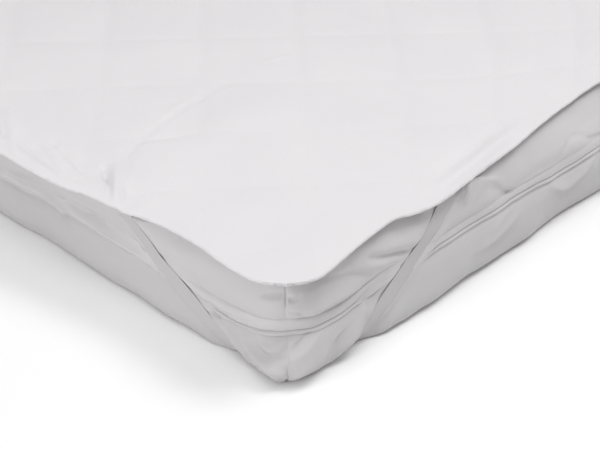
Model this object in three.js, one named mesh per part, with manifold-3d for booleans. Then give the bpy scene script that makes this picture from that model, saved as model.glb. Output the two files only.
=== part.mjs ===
// Quilted mattress protector lying on a single mattress, with an elastic strap under each corner.
// Millimetres, +Z up. The origin is on the floor under the middle of the mattress.
// +X is the right long side, and -Y is the foot end.

import * as THREE from "three";
import { mergeVertices } from "three/addons/utils/BufferGeometryUtils.js";
import Module from "manifold-3d";

const wasm = await Module();
wasm.setup();

// Mattress
const mattressWidth = 900;
const mattressLength = 2000;
const mattressHeight = 140;
const cornerSteps = 6;
const longSideSteps = 10;
const shortSideSteps = 5;

// Sides of the filled cover from the floor up: each row is one ring round the mattress.
// inset is how far the ring lies inside the nominal side, and corner is its radius in plan.
const mattressProfile = [
  { height: 0, inset: 5, corner: 12 },
  { height: 3, inset: -1, corner: 17 },
  { height: 9, inset: -5, corner: 21 },
  { height: 24, inset: -9, corner: 30 },
  { height: 42, inset: -8, corner: 40 },
  { height: 53, inset: -3, corner: 47 },
  { height: 56, inset: 1.6, corner: 49 },
  { height: 76, inset: 1.6, corner: 49 },
  { height: 79, inset: -1, corner: 50 },
  { height: 92, inset: -4, corner: 50 },
  { height: 108, inset: -2, corner: 49 },
  { height: 120, inset: 3, corner: 46 },
  { height: 130, inset: 10, corner: 41 },
  { height: 137, inset: 20, corner: 34 },
  { height: mattressHeight, inset: 34, corner: 26 },
];

// Seam band that joins the two halves of the cover
const bandBottom = 57;
const bandTop = 75;
const bandOuterInset = -1.2;
const bandInnerInset = 1.2;
const bandCorner = 49;

// Protector
const overhang = 20;
const protectorCorner = 64;
const restGap = 0.5;
const seamThickness = 3.5;
const crownHeight = 3.5;
const crownFullness = 0.6;
const hemThickness = 4.5;
const hemWidth = 8;
const restInset = 22;
const pullWidth = 200;

// Quilting: squares stand on their corners, and quiltSteps grid lines cross each one.
const quiltDiagonal = 180;
const quiltSteps = 6;
const quiltCentre = { x: 147, y: -136 };
const hemLines = [35, 20, 8, 1.5, 0];
const undersideRim = 80;

// Edge of the protector, by distance from the near end of each side:
// out is how far it stands past the mattress side, and drop is how far it sags.
const footEdge = [
  { along: 0, out: 22, drop: 4 },
  { along: 65, out: 23, drop: 4 },
  { along: 116, out: 17.5, drop: 4 },
  { along: 150, out: 16, drop: 4.5 },
  { along: 190, out: 17.5, drop: 5 },
  { along: 250, out: 27.5, drop: 6 },
  { along: 295, out: 31.5, drop: 6.5 },
  { along: 335, out: 40, drop: 7 },
  { along: 440, out: 41, drop: 8 },
  { along: 620, out: 30, drop: 6 },
  { along: 900, out: 22, drop: 5 },
];
const rightEdge = [
  { along: 0, out: 22, drop: 4 },
  { along: 45, out: 17.5, drop: 4 },
  { along: 103, out: 7, drop: 3 },
  { along: 150, out: 1, drop: 2 },
  { along: 178, out: -0.5, drop: 2 },
  { along: 200, out: 5.5, drop: 4 },
  { along: 240, out: 10, drop: 5 },
  { along: 300, out: 4.5, drop: 4 },
  { along: 355, out: -1.5, drop: 3 },
  { along: 400, out: -5.5, drop: 2 },
  { along: 460, out: -15.5, drop: 0.5 },
  { along: 520, out: -23, drop: 0 },
  { along: 590, out: -29, drop: 0 },
  { along: 720, out: -22, drop: 0 },
  { along: 950, out: 8, drop: 3 },
  { along: 1300, out: 20, drop: 6 },
  { along: 1650, out: 12, drop: 4 },
  { along: 2000, out: 22, drop: 5 },
];
const headEdge = [
  { along: 0, out: 22, drop: 5 },
  { along: 200, out: 30, drop: 6 },
  { along: 450, out: 40, drop: 8 },
  { along: 700, out: 26, drop: 5 },
  { along: 900, out: 22, drop: 5 },
];
const leftEdge = [
  { along: 0, out: 22, drop: 5 },
  { along: 250, out: 14, drop: 4 },
  { along: 600, out: 23, drop: 6 },
  { along: 1000, out: 10, drop: 3 },
  { along: 1400, out: 21, drop: 6 },
  { along: 1750, out: 14, drop: 4 },
  { along: 2000, out: 22, drop: 5 },
];

// Rucks where a strap pulls at the cloth: a soft ridge from one point to another. It rises over
// its whole length as part of one arch, and ruckStart is the share of the arch left out at the strap.
const ruckStart = 0.15;
const rucks = [
  { from: [186, -965], to: [150, -700], width: 34, height: 4 },
  { from: [300, -985], to: [345, -820], width: 30, height: 2.5 },
  { from: [405, -745], to: [330, -640], width: 32, height: 3 },
];

// Elastic straps
const strapWidth = 20;
const strapThickness = 1;
const strapGap = 0.3;
const hemHold = 9;

// Seat that a strap presses into the mattress: how much wider and deeper than the strap it is
const seatMargin = 1.5;
const seatGap = 1;
const seatReach = 9;

// How a strap lies in section: depth inside the mattress side, and height, from under the mattress
// to the free span below the hem. The turn at the hem follows it.
const strapUnder = 60;
const longSideSection = [
  { inset: strapUnder, height: 0.8 },
  { inset: 20, height: 0.8 },
  { inset: 11, height: 1.2 },
  { inset: 4, height: 3.4 },
  { inset: -1, height: 8 },
  { inset: -5, height: 14 },
  { inset: -8.5, height: 24 },
  { inset: -9.5, height: 38 },
  { inset: -6, height: 58 },
  { inset: -4, height: 80 },
  { inset: -4.6, height: 100 },
];
const shortSideSection = [
  { inset: strapUnder, height: 0.8 },
  { inset: 20, height: 0.8 },
  { inset: 12, height: 1.2 },
  { inset: 5, height: 3.4 },
  { inset: 0, height: 8 },
  { inset: -4, height: 14 },
  { inset: -7.5, height: 24 },
  { inset: -8, height: 38 },
  { inset: -5, height: 58 },
  { inset: -5.5, height: 80 },
  { inset: -11.5, height: 100 },
];

// Centre line of a strap on the side laid flat: travel is measured along the section from the
// bottom edge, and along is the distance from the corner.
const longSideLine = [
  { travel: -60, along: 19.6 },
  { travel: 0, along: 95 },
  { travel: 11, along: 113 },
  { travel: 37, along: 157 },
  { travel: 59, along: 193 },
  { travel: 85, along: 224 },
  { travel: 125, along: 261 },
  { travel: 150, along: 282 },
];
const shortSideLine = [
  { travel: -60, along: 28.5 },
  { travel: 0, along: 83 },
  { travel: 18, along: 115 },
  { travel: 36, along: 149 },
  { travel: 55, along: 183 },
  { travel: 71, along: 213 },
  { travel: 90, along: 241 },
  { travel: 110, along: 262 },
  { travel: 152, along: 292 },
];
const longSideStart = -30;
const shortSideStart = -40;
const stationPitch = 11;
const acrossSteps = 3;
const tabMargin = 5;

// Turn at the hem, where the strap's end lies flat under the cloth: inset is counted from the place
// where it is sewn, and fall from the height of its flat end.
const hemTurn = [
  { inset: -1.2, fall: 6 },
  { inset: -1, fall: 2 },
  { inset: 1.6, fall: 0 },
  { inset: 14, fall: 0 },
];

function material(color, roughness) {
  return new THREE.MeshStandardMaterial({ color, roughness, metalness: 0 });
}

const quiltCloth = material(0xe6e4e5, 0.92);
const coverCloth = material(0xbcbab9, 0.88);
const bandCloth = material(0xc4c2c2, 0.88);
const elastic = material(0xa9a6a7, 0.8);

function meshOf(name, geometry, cloth) {
  const mesh = new THREE.Mesh(geometry, cloth);
  mesh.name = name;
  return mesh;
}

function geometryOf(points, triangles) {
  const geometry = new THREE.BufferGeometry();
  geometry.setAttribute("position", new THREE.Float32BufferAttribute(points, 3));
  geometry.setIndex(triangles);
  const merged = mergeVertices(geometry, 1e-4);
  merged.computeVertexNormals();
  return merged;
}

// Rings round the mattress

function ringAround(height, inset, corner) {
  // A rounded rectangle, anticlockwise seen from above, with the same count of points each time.
  const halfX = mattressWidth / 2 - inset - corner;
  const halfY = mattressLength / 2 - inset - corner;
  const centres = [[halfX, -halfY], [halfX, halfY], [-halfX, halfY], [-halfX, -halfY]];
  const arcs = centres.map(([x, y], turn) => {
    const arc = [];
    for (let step = 0; step <= cornerSteps; step++) {
      const angle = (Math.PI / 2) * (turn - 1 + step / cornerSteps);
      arc.push(new THREE.Vector3(x + corner * Math.cos(angle), y + corner * Math.sin(angle), height));
    }
    return arc;
  });
  return arcs.flatMap((arc, turn) => {
    const last = arc[cornerSteps];
    const next = arcs[(turn + 1) % 4][0];
    const steps = turn % 2 === 0 ? longSideSteps : shortSideSteps;
    const side = [];
    for (let step = 1; step < steps; step++) side.push(last.clone().lerp(next, step / steps));
    return [...arc, ...side];
  });
}

function skin(rings, closed) {
  // Joins each ring to the next. A closed skin joins the last ring to the first, as on a band,
  // and an open one gets a flat cap at each end, as on the mattress.
  const count = rings[0].length;
  const points = rings.flat().flatMap((point) => point.toArray());
  const triangles = [];
  const joins = closed ? rings.length : rings.length - 1;
  for (let level = 0; level < joins; level++) {
    const low = level * count;
    const high = ((level + 1) % rings.length) * count;
    for (let step = 0; step < count; step++) {
      const next = (step + 1) % count;
      triangles.push(low + step, low + next, high + next, low + step, high + next, high + step);
    }
  }
  if (!closed) {
    const bottom = points.length / 3;
    const top = bottom + 1;
    const lastRing = (rings.length - 1) * count;
    points.push(0, 0, rings[0][0].z, 0, 0, rings.at(-1)[0].z);
    for (let step = 0; step < count; step++) {
      const next = (step + 1) % count;
      triangles.push(bottom, next, step, top, lastRing + step, lastRing + next);
    }
  }
  return geometryOf(points, triangles);
}

// Edge tables

function readRow(rows, place, column, key = "along") {
  // A smooth cubic through the table's rows, flat past its ends.
  const last = rows.length - 1;
  if (place <= rows[0][key]) return rows[0][column];
  if (place >= rows[last][key]) return rows[last][column];
  const index = rows.findIndex((row) => row[key] > place) - 1;
  const slopeAt = (row) => {
    const before = rows[Math.max(row - 1, 0)];
    const after = rows[Math.min(row + 1, last)];
    return (after[column] - before[column]) / (after[key] - before[key]);
  };
  const here = rows[index];
  const next = rows[index + 1];
  const span = next[key] - here[key];
  const t = (place - here[key]) / span;
  const bend = t * t * (3 - 2 * t);
  return (
    here[column] * (1 - bend) +
    next[column] * bend +
    slopeAt(index) * span * t * (1 - t) ** 2 -
    slopeAt(index + 1) * span * t ** 2 * (1 - t)
  );
}

const fromFoot = (x, y) => y + mattressLength / 2;
const fromRight = (x) => mattressWidth / 2 - x;
const sides = [
  { rows: rightEdge, inset: fromRight, along: fromFoot, push: [1, 0] },
  { rows: headEdge, inset: (x, y) => mattressLength / 2 - y, along: fromRight, push: [0, 1] },
  { rows: leftEdge, inset: (x) => mattressWidth / 2 + x, along: fromFoot, push: [-1, 0] },
  { rows: footEdge, inset: fromFoot, along: fromRight, push: [0, -1] },
];

// Protector

function smooth(t) {
  const held = THREE.MathUtils.clamp(t, 0, 1);
  return held * held * (3 - 2 * held);
}

function roundCorner(x, y) {
  // Carries the square corner of the grid onto a quarter disc.
  const startX = mattressWidth / 2 + overhang - protectorCorner;
  const startY = mattressLength / 2 + overhang - protectorCorner;
  const u = (Math.abs(x) - startX) / protectorCorner;
  const v = (Math.abs(y) - startY) / protectorCorner;
  if (u <= 0 || v <= 0) return [x, y];
  const roundX = startX + protectorCorner * u * Math.sqrt(1 - (v * v) / 2);
  const roundY = startY + protectorCorner * v * Math.sqrt(1 - (u * u) / 2);
  return [Math.sign(x) * roundX, Math.sign(y) * roundY];
}

function pullEdges(x, y) {
  // Moves the cloth sideways so that each edge follows its table.
  let pulledX = x;
  let pulledY = y;
  for (const { rows, inset, along, push } of sides) {
    const reach = smooth(1 - (inset(x, y) + overhang) / pullWidth);
    const extra = (readRow(rows, along(x, y), "out") - overhang) * reach;
    pulledX += push[0] * extra;
    pulledY += push[1] * extra;
  }
  return [pulledX, pulledY];
}

function sagAt(x, y) {
  // How far the cloth hangs below the flat, growing from where the mattress starts to round off.
  let sag = 0;
  for (const { rows, inset, along } of sides) {
    const out = readRow(rows, along(x, y), "out");
    const drop = readRow(rows, along(x, y), "drop");
    const t = THREE.MathUtils.clamp((restInset - inset(x, y)) / Math.max(restInset + out, overhang), 0, 1);
    sag += drop * t * t;
  }
  return sag;
}

function ruckAt(x, y) {
  let height = 0;
  for (const ruck of rucks) {
    const start = new THREE.Vector2(...ruck.from);
    const run = new THREE.Vector2(...ruck.to).sub(start);
    const point = new THREE.Vector2(x, y).sub(start);
    const share = THREE.MathUtils.clamp(point.dot(run) / run.lengthSq(), 0, 1);
    const distance = point.sub(run.multiplyScalar(share)).length();
    const arch = Math.sin(Math.PI * (ruckStart + (1 - ruckStart) * share));
    height += ruck.height * arch * Math.exp(-((distance / ruck.width) ** 2));
  }
  return height;
}

function quiltCrown(x, y) {
  // 0 along the stitched lines and 1 in the middle of a quilted square.
  const u = (x - quiltCentre.x + y - quiltCentre.y) / quiltDiagonal;
  const v = (x - quiltCentre.x - y + quiltCentre.y) / quiltDiagonal;
  return Math.abs(Math.sin(Math.PI * u) * Math.sin(Math.PI * v)) ** crownFullness;
}

function gridLines(half, phase) {
  // Quilt lines across the middle, then closer lines towards the hem at both ends.
  const pitch = quiltDiagonal / quiltSteps;
  const lines = hemLines.flatMap((inset) => [half - inset, inset - half]);
  const first = Math.ceil((-half + hemLines[0] + hemWidth - phase) / pitch);
  for (let step = first; step * pitch + phase < half - hemLines[0] - hemWidth; step++) {
    lines.push(step * pitch + phase);
  }
  return lines.sort((a, b) => a - b);
}

function buildProtector() {
  const halfX = mattressWidth / 2 + overhang;
  const halfY = mattressLength / 2 + overhang;
  const columns = gridLines(halfX, quiltCentre.x % quiltDiagonal);
  const rows = gridLines(halfY, quiltCentre.y % quiltDiagonal);
  const points = [];
  const triangles = [];
  const faceSize = columns.length * rows.length;

  for (const face of ["top", "underside"]) {
    for (const y of rows) {
      for (const x of columns) {
        const toHem = Math.min(halfX - Math.abs(x), halfY - Math.abs(y));
        const [worldX, worldY] = pullEdges(...roundCorner(x, y));
        const raised = face === "top" ? 1 : smooth((undersideRim - toHem) / hemLines[0]);
        const under = mattressHeight + restGap - sagAt(worldX, worldY) + ruckAt(worldX, worldY) * raised;
        const plain = smooth(1 - (toHem - hemWidth) / (hemLines[0] - hemWidth));
        const crown = crownHeight * quiltCrown(x, y) * (1 - plain);
        const thickness = THREE.MathUtils.lerp(seamThickness + crown, hemThickness, plain);
        const height = toHem === 0 ? under + hemThickness / 2 : under + (face === "top" ? thickness : 0);
        points.push(worldX, worldY, height);
      }
    }
  }

  const vertex = (face, row, column) => face * faceSize + row * columns.length + column;

  function addCell(face, row, column) {
    // Splits the cell along the quilt line that crosses it.
    const a = vertex(face, row, column);
    const b = vertex(face, row, column + 1);
    const c = vertex(face, row + 1, column + 1);
    const d = vertex(face, row + 1, column);
    const x = (columns[column] + columns[column + 1]) / 2 - quiltCentre.x;
    const y = (rows[row] + rows[row + 1]) / 2 - quiltCentre.y;
    const toLine = (offset) => Math.abs(offset / quiltDiagonal - Math.round(offset / quiltDiagonal));
    const rising = toLine(x - y) < toLine(x + y);
    const cell = rising ? [a, b, c, a, c, d] : [a, b, d, b, c, d];
    triangles.push(...(face === 0 ? cell : cell.reverse()));
  }

  const left = columns.findIndex((x) => x > -halfX + undersideRim);
  const right = columns.length - 1 - [...columns].reverse().findIndex((x) => x < halfX - undersideRim);
  const near = rows.findIndex((y) => y > -halfY + undersideRim);
  const far = rows.length - 1 - [...rows].reverse().findIndex((y) => y < halfY - undersideRim);
  for (let row = 0; row < rows.length - 1; row++) {
    for (let column = 0; column < columns.length - 1; column++) {
      addCell(0, row, column);
      const inMiddle = column >= left && column < right && row >= near && row < far;
      if (!inMiddle) addCell(1, row, column);
    }
  }

  // The underside is flat in the middle, so it has wide faces there that reach from rim to rim.
  const middle = Math.round((left + right) / 2);
  const underside = (row, column) => vertex(1, row, column);
  for (const [rimRow, nextRow] of [[near, near + 1], [far, far - 1]]) {
    const facing = rimRow < nextRow ? 1 : -1;
    for (let column = left; column < right; column++) {
      const target = underside(nextRow, column < middle ? left : right);
      const fan = [underside(rimRow, column), target, underside(rimRow, column + 1)];
      triangles.push(...(facing > 0 ? fan : fan.reverse()));
    }
    const bridge = [underside(rimRow, middle), underside(nextRow, left), underside(nextRow, right)];
    triangles.push(...(facing > 0 ? bridge : bridge.reverse()));
  }
  for (let row = near + 1; row < far - 1; row++) {
    const a = underside(row, left);
    const b = underside(row, right);
    const c = underside(row + 1, right);
    const d = underside(row + 1, left);
    triangles.push(a, c, b, a, d, c);
  }
  return geometryOf(points, triangles);
}

// Straps

function undersideAt(x, y) {
  return mattressHeight + restGap - sagAt(x, y) + ruckAt(x, y);
}

function strapSide(signX, signY, onLongSide) {
  // One side's share of a strap: a curve for its section and a place for each point of it.
  const rows = onLongSide ? longSideSection : shortSideSection;
  const line = onLongSide ? longSideLine : shortSideLine;
  const place = (inset, along) => {
    const fromLong = onLongSide ? inset : along;
    const fromShort = onLongSide ? along : inset;
    return [signX * (mattressWidth / 2 - fromLong), signY * (mattressLength / 2 - fromShort)];
  };
  const side = sides.find(({ push }) => (onLongSide ? push[0] === signX : push[1] === signY));
  const anchor = line.at(-2).along;
  const hemInset = hemHold - readRow(side.rows, side.along(...place(0, anchor)), "out");
  const tabEnd = line.at(-1).along;
  const tabHeight = Math.min(
    ...[anchor - strapWidth, anchor, tabEnd, tabEnd + strapWidth].map((along) =>
      undersideAt(...place(hemInset, along)),
    ),
  ) - strapGap - strapThickness;
  const turn = hemTurn.map(({ inset, fall }) => ({ inset: hemInset + inset, height: tabHeight - fall }));
  const section = new THREE.SplineCurve(
    [...rows, ...turn].map(({ inset, height }) => new THREE.Vector2(inset, height)),
  );
  return { line, place, section, length: section.getLength() };
}

function strapRing({ line, place, section, length }, travel, width, outer, inner) {
  // One cross-section of the tape: its outer face from the near edge to the far edge, then back
  // along its inner face. It is a straight line across the tape when the side is laid flat.
  const here = readRow(line, travel, "along", "travel");
  const slope = readRow(line, travel + 1, "along", "travel") - here;
  const scale = width / acrossSteps / Math.hypot(1, slope);
  const face = (depth) => {
    const row = [];
    for (let step = 0; step <= acrossSteps; step++) {
      const sideways = (step - acrossSteps / 2) * scale;
      const share = THREE.MathUtils.clamp((strapUnder + travel - sideways * slope) / length, 0, 1);
      const point = section.getPointAt(share);
      const tangent = section.getTangentAt(share);
      const inset = point.x - tangent.y * depth;
      const height = point.y + tangent.x * depth;
      row.push(new THREE.Vector3(...place(inset, here + sideways), height));
    }
    return row;
  };
  return [...face(outer), ...face(inner).reverse()];
}

function buildStrap([signX, signY], width, outer, inner) {
  // The tape from the hem of the long side, under the corner, to the hem of the short side.
  const longSide = strapSide(signX, signY, true);
  const shortSide = strapSide(signX, signY, false);
  const run = (side, start) => {
    const reach = side.length - strapUnder - tabMargin;
    const steps = Math.round((reach - start) / stationPitch);
    const rings = [];
    for (let step = 0; step <= steps; step++) {
      rings.push(strapRing(side, start + ((reach - start) * step) / steps, width, outer, inner));
    }
    return rings;
  };
  const rings = [...run(longSide, longSideStart).reverse(), ...run(shortSide, shortSideStart)];
  const points = rings.flat().flatMap((point) => point.toArray());
  const count = rings[0].length;
  const triangles = [];
  for (let ring = 0; ring < rings.length - 1; ring++) {
    for (let step = 0; step < count; step++) {
      // Both faces are split along the same diagonal, so that a twisted stretch keeps its thickness.
      const low = ring * count + step;
      const next = ring * count + ((step + 1) % count);
      if (step <= acrossSteps) triangles.push(low, next, next + count, low, next + count, low + count);
      else triangles.push(low, next, low + count, next, next + count, low + count);
    }
  }
  const last = (rings.length - 1) * count;
  for (let step = 0; step < acrossSteps; step++) {
    const back = count - 1 - step;
    triangles.push(step, back, back - 1, step, back - 1, step + 1);
    triangles.push(last + step, last + step + 1, last + back - 1);
    triangles.push(last + step, last + back - 1, last + back);
  }
  if (signX * signY < 0) triangles.reverse();
  return geometryOf(points, triangles);
}

// Booleans

function solidOf(geometry) {
  const positionOnly = new THREE.BufferGeometry();
  positionOnly.setAttribute("position", geometry.getAttribute("position"));
  positionOnly.setIndex(geometry.getIndex());
  const merged = mergeVertices(positionOnly, 1e-4);
  return new wasm.Manifold(
    new wasm.Mesh({
      numProp: 3,
      vertProperties: new Float32Array(merged.getAttribute("position").array),
      triVerts: new Uint32Array(merged.getIndex().array),
    }),
  );
}

function geometryFrom(solid) {
  const { vertProperties, triVerts } = solid.getMesh();
  return geometryOf(Array.from(vertProperties), Array.from(triVerts));
}

const corners = [[1, -1], [1, 1], [-1, 1], [-1, -1]];

function buildMattress() {
  // The filled cover, with the seat that each strap presses into it.
  const rings = mattressProfile.map(({ height, inset, corner }) => ringAround(height, inset, corner));
  let solid = solidOf(skin(rings, false));
  for (const corner of corners) {
    const seatWidth = strapWidth + 2 * seatMargin;
    const seat = buildStrap(corner, seatWidth, seatReach, -(strapThickness / 2 + seatGap));
    solid = solid.subtract(solidOf(seat));
  }
  return geometryFrom(solid);
}

function buildBand() {
  const rings = [
    ringAround(bandBottom, bandInnerInset, bandCorner),
    ringAround(bandBottom, bandOuterInset, bandCorner),
    ringAround(bandTop, bandOuterInset, bandCorner),
    ringAround(bandTop, bandInnerInset, bandCorner),
  ];
  return skin(rings, true);
}

const protectorOnMattress = new THREE.Group();
protectorOnMattress.add(meshOf("mattress", buildMattress(), coverCloth));
protectorOnMattress.add(meshOf("cover_band", buildBand(), bandCloth));
protectorOnMattress.add(meshOf("protector", buildProtector(), quiltCloth));
corners.forEach((corner, index) => {
  const strap = buildStrap(corner, strapWidth, strapThickness / 2, -strapThickness / 2);
  protectorOnMattress.add(meshOf(`strap_${index + 1}`, strap, elastic));
});

export default protectorOnMattress;
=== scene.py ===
import bpy
import numpy as np
from mathutils import Matrix, Vector


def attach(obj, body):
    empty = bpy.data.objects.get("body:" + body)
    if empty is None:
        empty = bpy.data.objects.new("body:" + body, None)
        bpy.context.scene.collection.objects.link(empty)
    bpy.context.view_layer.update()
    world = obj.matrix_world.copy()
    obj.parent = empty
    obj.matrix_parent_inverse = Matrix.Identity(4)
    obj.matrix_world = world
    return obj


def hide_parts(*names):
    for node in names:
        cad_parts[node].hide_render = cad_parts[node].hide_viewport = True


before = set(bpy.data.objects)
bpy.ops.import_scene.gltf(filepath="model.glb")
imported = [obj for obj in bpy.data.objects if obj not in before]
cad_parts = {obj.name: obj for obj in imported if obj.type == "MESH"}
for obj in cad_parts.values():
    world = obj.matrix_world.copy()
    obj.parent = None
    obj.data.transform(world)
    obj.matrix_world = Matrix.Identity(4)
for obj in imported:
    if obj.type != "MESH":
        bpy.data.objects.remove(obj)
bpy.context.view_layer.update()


# Quilted protector: two white cloths with thin wadding between them, stitched through in squares
# that stand on their corners. Its hem is turned in the same cloth. It lies on the mattress, hangs
# a little over the edges in slow waves, and is pulled into rucks where the straps hold it.
# All lengths in this file are millimetres until a mesh is written.

mattress_width, mattress_length, mattress_height = 900.0, 2000.0, 140.0
half_width, half_length = mattress_width / 2, mattress_length / 2
overhang = 20.0
protector_corner = 64.0
rest_gap = 0.5
rest_inset = 22.0
pull_width = 200.0
seam_thickness = 3.5
hem_thickness = 4.5
hem_width = 8.0
underside_rim, rim_fade = 44.0, 20.0
hem_fade = 27.0
hem_roll = 2.6
sewn_inset, sewn_width, sewn_dip = 6.0, 1.1, 0.2
fray_reach, fray_out, fray_up = 2.0, 0.7, 0.3
quilt_pitch = 127.42
quilt_turn = np.radians(47.12)
quilt_crossing = np.array([170.0, -1212.0])
loft_height, loft_reach, loft_crossing_share = 3.4, 14.0, 0.6
groove_depth, groove_width = 0.25, 3.2
flat_share, flat_reach, flat_fade = 0.55, 250.0, 450.0


def columns(names, *rows):
    """A short table, read by the names of its columns."""
    return dict(zip(names.split(), np.array(rows, float).T))


def ease(t):
    """0 below 0, 1 above 1, and t squared times (3 - 2t) between them."""
    t = np.clip(t, 0, 1)
    return t * t * (3 - 2 * t)


def bell(distance, width):
    """A bell curve: the exponential of minus the square of distance / width."""
    return np.exp(-((distance / width) ** 2))


def read(table, at, column, key="along"):
    """A smooth curve through a table's rows, flat past its ends: between two rows it is the cubic
    that meets both and has, at each, the slope between the rows on either side."""
    places, values = table[key], table[column]
    at = np.clip(at, places[0], places[-1])
    row = np.arange(len(places))
    before, after = np.maximum(row - 1, 0), np.minimum(row + 1, row[-1])
    slope = (values[after] - values[before]) / (places[after] - places[before])
    here = np.clip(np.searchsorted(places, at, side="right") - 1, 0, row[-1] - 1)
    span = places[here + 1] - places[here]
    t = (at - places[here]) / span
    blend = ease(t)
    return (
        values[here] * (1 - blend)
        + values[here + 1] * blend
        + slope[here] * span * t * (1 - t) ** 2
        - slope[here + 1] * span * t**2 * (1 - t)
    )


# Edge of the cloth by distance along each side: how far out it stands and how far it sags
right_edge = columns(
    "along out drop",
    (0, 22, 4), (45, 17.5, 4), (103, 7, 3), (150, 1, 2), (178, -0.5, 2), (200, 5.5, 4),
    (240, 10, 5), (300, 4.5, 4), (355, -1.5, 3), (400, -5.5, 2), (460, -15.5, 0.5), (520, -23, 0),
    (590, -29, 0), (720, -22, 0), (950, 8, 3), (1300, 20, 6), (1650, 12, 4), (2000, 22, 5),
)
head_edge = columns(
    "along out drop", (0, 22, 5), (200, 30, 6), (450, 40, 8), (700, 26, 5), (900, 22, 5)
)
left_edge = columns(
    "along out drop",
    (0, 22, 5), (250, 14, 4), (600, 23, 6), (1000, 10, 3), (1400, 21, 6), (1750, 14, 4),
    (2000, 22, 5),
)
foot_edge = columns(
    "along out drop",
    (0, 22, 4), (65, 23, 4), (116, 17.5, 4), (150, 16, 4.5), (190, 17.5, 5), (250, 27.5, 6),
    (295, 31.5, 6.5), (335, 40, 7), (440, 41, 8), (620, 30, 6), (900, 22, 5),
)


def inset_from(side, x, y):
    """Distance in from a side of the mattress, which is given by its outward direction: half the
    mattress's size less the way out."""
    half = half_width if side[0] else half_length
    return half - side[0] * x - side[1] * y


# Each side's table, the side, and the side from which the table's along is counted
right, head, left, foot = (1, 0), (0, 1), (-1, 0), (0, -1)
cloth_sides = [
    (right_edge, right, foot), (head_edge, head, right), (left_edge, left, foot),
    (foot_edge, foot, right),
]


def round_corner(x, y):
    """Carries the square corners of the cloth's grid onto quarter discs: with u and v from 0 to 1
    across the corner square, each is shortened by the root of 1 less half the other's square."""
    start_x = half_width + overhang - protector_corner
    start_y = half_length + overhang - protector_corner
    u = np.maximum((np.abs(x) - start_x) / protector_corner, 0)
    v = np.maximum((np.abs(y) - start_y) / protector_corner, 0)
    both = (u > 0) & (v > 0)
    u, v = np.where(both, u, 0), np.where(both, v, 0)
    round_x = start_x + protector_corner * u * np.sqrt(1 - v**2 / 2)
    round_y = start_y + protector_corner * v * np.sqrt(1 - u**2 / 2)
    return np.where(both, np.sign(x) * round_x, x), np.where(both, np.sign(y) * round_y, y)


def pull_edges(x, y):
    """Moves each point outwards by its side's out less the even overhang, times an ease that
    fades from the edge to pull_width inside it."""
    pulled_x, pulled_y = x, y
    for table, side, start in cloth_sides:
        reach = ease(1 - (inset_from(side, x, y) + overhang) / pull_width)
        extra = (read(table, inset_from(start, x, y), "out") - overhang) * reach
        pulled_x = pulled_x + side[0] * extra
        pulled_y = pulled_y + side[1] * extra
    return pulled_x, pulled_y


def sag_at(x, y):
    """How far the cloth hangs: each side's drop times the square of the share of the way from
    rest_inset inside the mattress to the edge of the cloth."""
    sag = 0
    for table, side, start in cloth_sides:
        along = inset_from(start, x, y)
        out = read(table, along, "out")
        share = (rest_inset - inset_from(side, x, y)) / np.maximum(rest_inset + out, overhang)
        sag = sag + read(table, along, "drop") * np.clip(share, 0, 1) ** 2
    return sag


ruck_start = 0.15
rucks = columns(
    "from_x from_y to_x to_y width height",
    (186, -965, 150, -700, 34, 4), (300, -985, 345, -820, 30, 2.5), (405, -745, 330, -640, 32, 3),
)


def ruck_at(x, y):
    """Soft ridges where the straps pull: along each ruck an arch of a sine, begun at ruck_start,
    and across it a bell curve of its width."""
    height = 0
    for fx, fy, tx, ty, width, rise in zip(*rucks.values()):
        run = np.array([tx - fx, ty - fy])
        share = np.clip(((x - fx) * run[0] + (y - fy) * run[1]) / (run @ run), 0, 1)
        distance = np.hypot(x - fx - share * run[0], y - fy - share * run[1])
        arch = np.sin(np.pi * (ruck_start + (1 - ruck_start) * share))
        height = height + rise * arch * bell(distance, width)
    return height


def folds_at(p, q, table):
    """Creases on a surface with coordinates p and q. Each runs along a curve with a start, a pull
    point and an end. Its height is a bell curve across it, with one width on its left and one
    on its right, times a sine of the way along it, to the power 0.6."""
    total = np.zeros(np.broadcast(p, q).shape)
    t = np.linspace(0, 1, 25)
    for p0, q0, p1, q1, p2, q2, left, right, rise in zip(*table.values()):
        line_p = p0 * (1 - t) ** 2 + 2 * p1 * t * (1 - t) + p2 * t**2
        line_q = q0 * (1 - t) ** 2 + 2 * q1 * t * (1 - t) + q2 * t**2
        reach = 3 * max(left, right)
        near = (
            (p > line_p.min() - reach) & (p < line_p.max() + reach)
            & (q > line_q.min() - reach) & (q < line_q.max() + reach)
        )
        if not near.any():
            continue
        near_p, near_q = p[near], q[near]
        away = (near_p[:, None] - line_p) ** 2 + (near_q[:, None] - line_q) ** 2
        step = np.argmin(away, axis=1)
        run_p, run_q = np.gradient(line_p)[step], np.gradient(line_q)[step]
        on_left = run_p * (near_q - line_q[step]) > run_q * (near_p - line_p[step])
        taper = np.sin(np.pi * (0.06 + 0.88 * t[step])) ** 0.6
        width = np.where(on_left, left, right)
        total[near] += rise * taper * bell(np.sqrt(away.min(axis=1)), width)
    return total


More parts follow.
